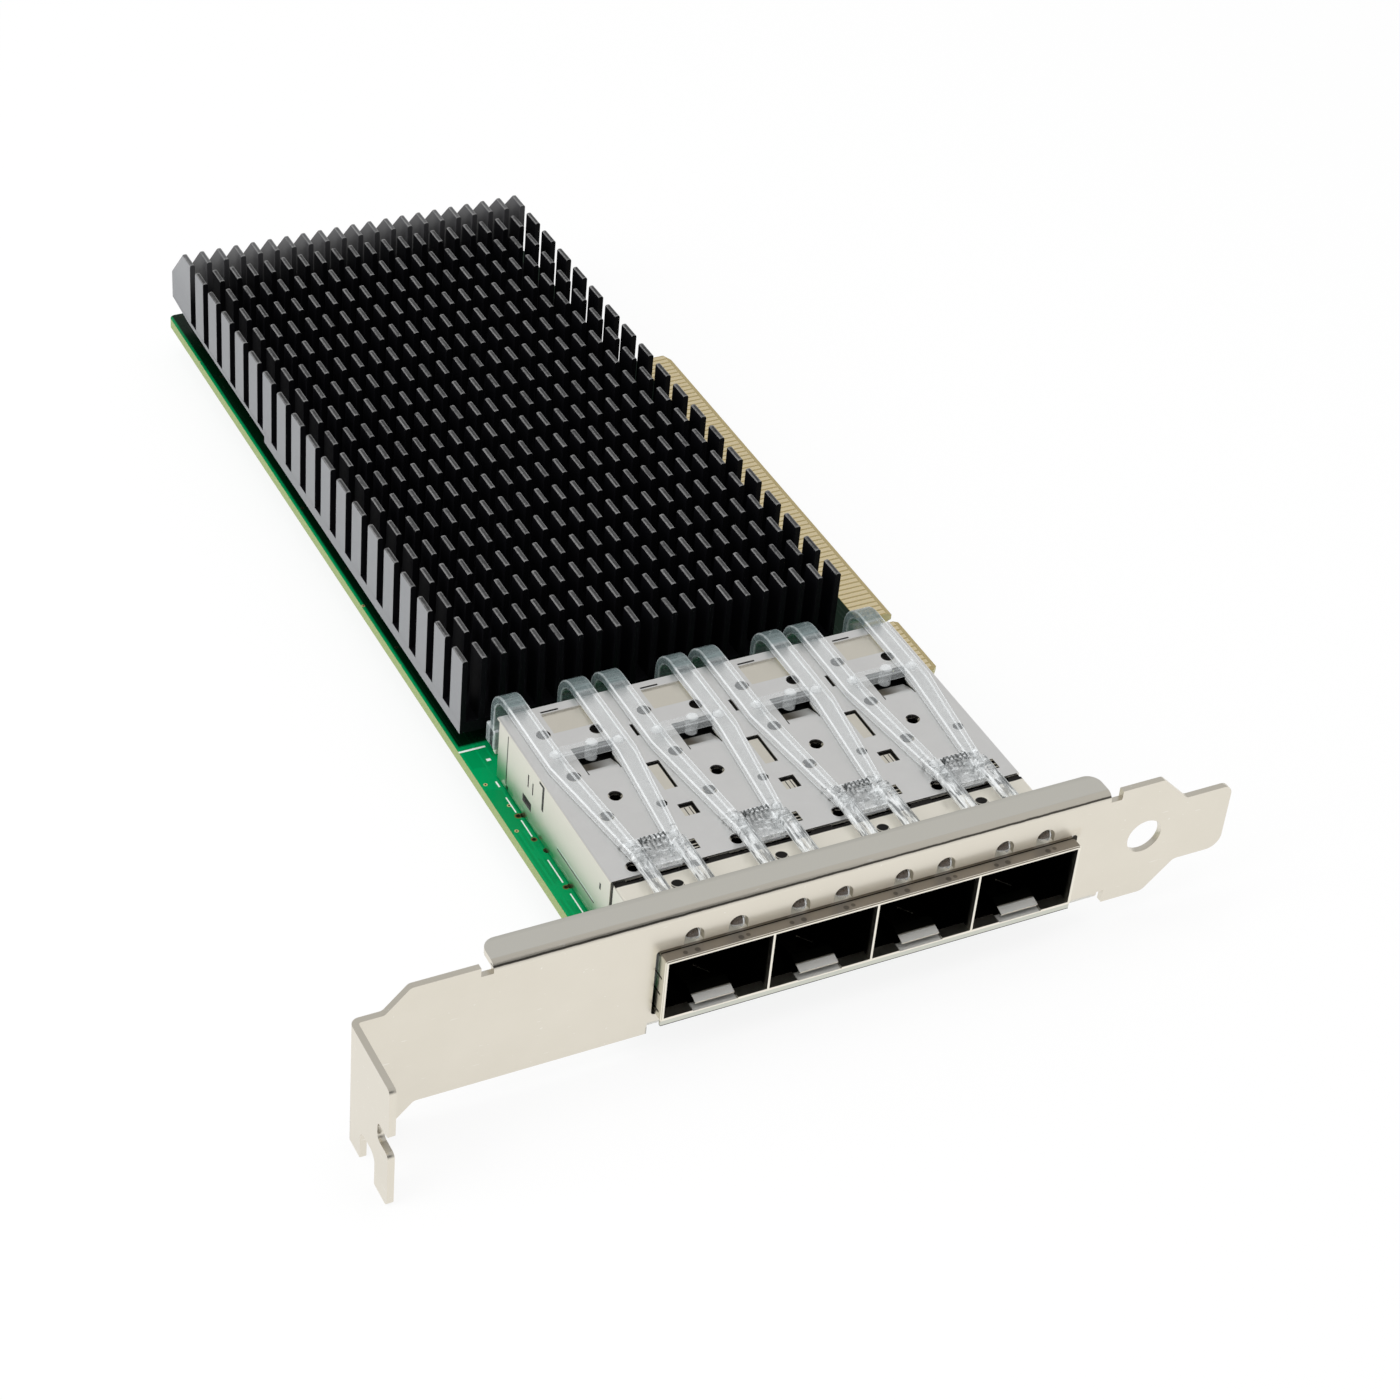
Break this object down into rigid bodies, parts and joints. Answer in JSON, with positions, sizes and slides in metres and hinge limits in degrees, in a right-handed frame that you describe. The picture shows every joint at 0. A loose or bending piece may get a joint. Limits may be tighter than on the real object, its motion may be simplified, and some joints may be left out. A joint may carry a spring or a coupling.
{
  "type": "network interface card",
  "caption": "Low-profile network card with a row of caged module ports, clear light pipes, a cross-cut heatsink and a folded slot bracket.",
  "frame": {"origin": "on the outer face of the bracket, at the outer face of its end tab, level with the board's component side", "axes": "+X along the bracket towards its tongue, +Y from the bracket to the rear of the board, +Z out of the component side"},
  "size_m": [0.12, 0.179, 0.0216],
  "materials": {
    "board": "green solder mask on glass-epoxy laminate",
    "gold": "hard gold plate",
    "bracket_steel": "nickel-plated steel sheet",
    "cover_steel": "bright stamped sheet",
    "shell_metal": "plated copper-alloy sheet",
    "divider_metal": "plated sheet",
    "socket_plastic": "black moulded",
    "clear_plastic": "clear moulded polycarbonate",
    "lamp": "cast resin",
    "small_parts": "fired ceramic and moulded bodies",
    "black_aluminium": "black anodised, bare where sawn",
    "screw_steel": "nickel-plated",
    "nut_brass": "tinned",
    "chip_package": "moulded package",
    "pad": "soft filled silicone",
    "can_metal": "bright lid"
  },
  "bodies": {
    "root": {"board_nuts": "nut_brass", "bracket": "bracket_steel", "bracket_screws": "screw_steel", "bulk_capacitors": "small_parts", "cage_back": "shell_metal", "cage_cover": "cover_steel", "cage_divider_1": "divider_metal", "cage_divider_2": "divider_metal", "cage_divider_3": "divider_metal", "cage_floor": "shell_metal", "cage_shell": "shell_metal", "circuit_board": "board", "controller_chip": "chip_package", "crystal": "can_metal", "edge_contacts_bottom": "gold", "edge_contacts_top": "gold", "emi_collar": "shell_metal", "flash_chip": "chip_package", "heatsink": "black_aluminium", "heatsink_screws": "screw_steel", "inductors": "small_parts", "led_resistors": "small_parts", "light_pipe_1": "clear_plastic", "light_pipe_2": "clear_plastic", "light_pipe_3": "clear_plastic", "light_pipe_4": "clear_plastic", "port_connector_1": "socket_plastic", "port_connector_2": "socket_plastic", "port_connector_3": "socket_plastic", "port_connector_4": "socket_plastic", "regulators": "chip_package", "status_leds": "lamp", "thermal_pad": "pad", "underside_capacitors": "small_parts"}
  },
  "joints": []
}
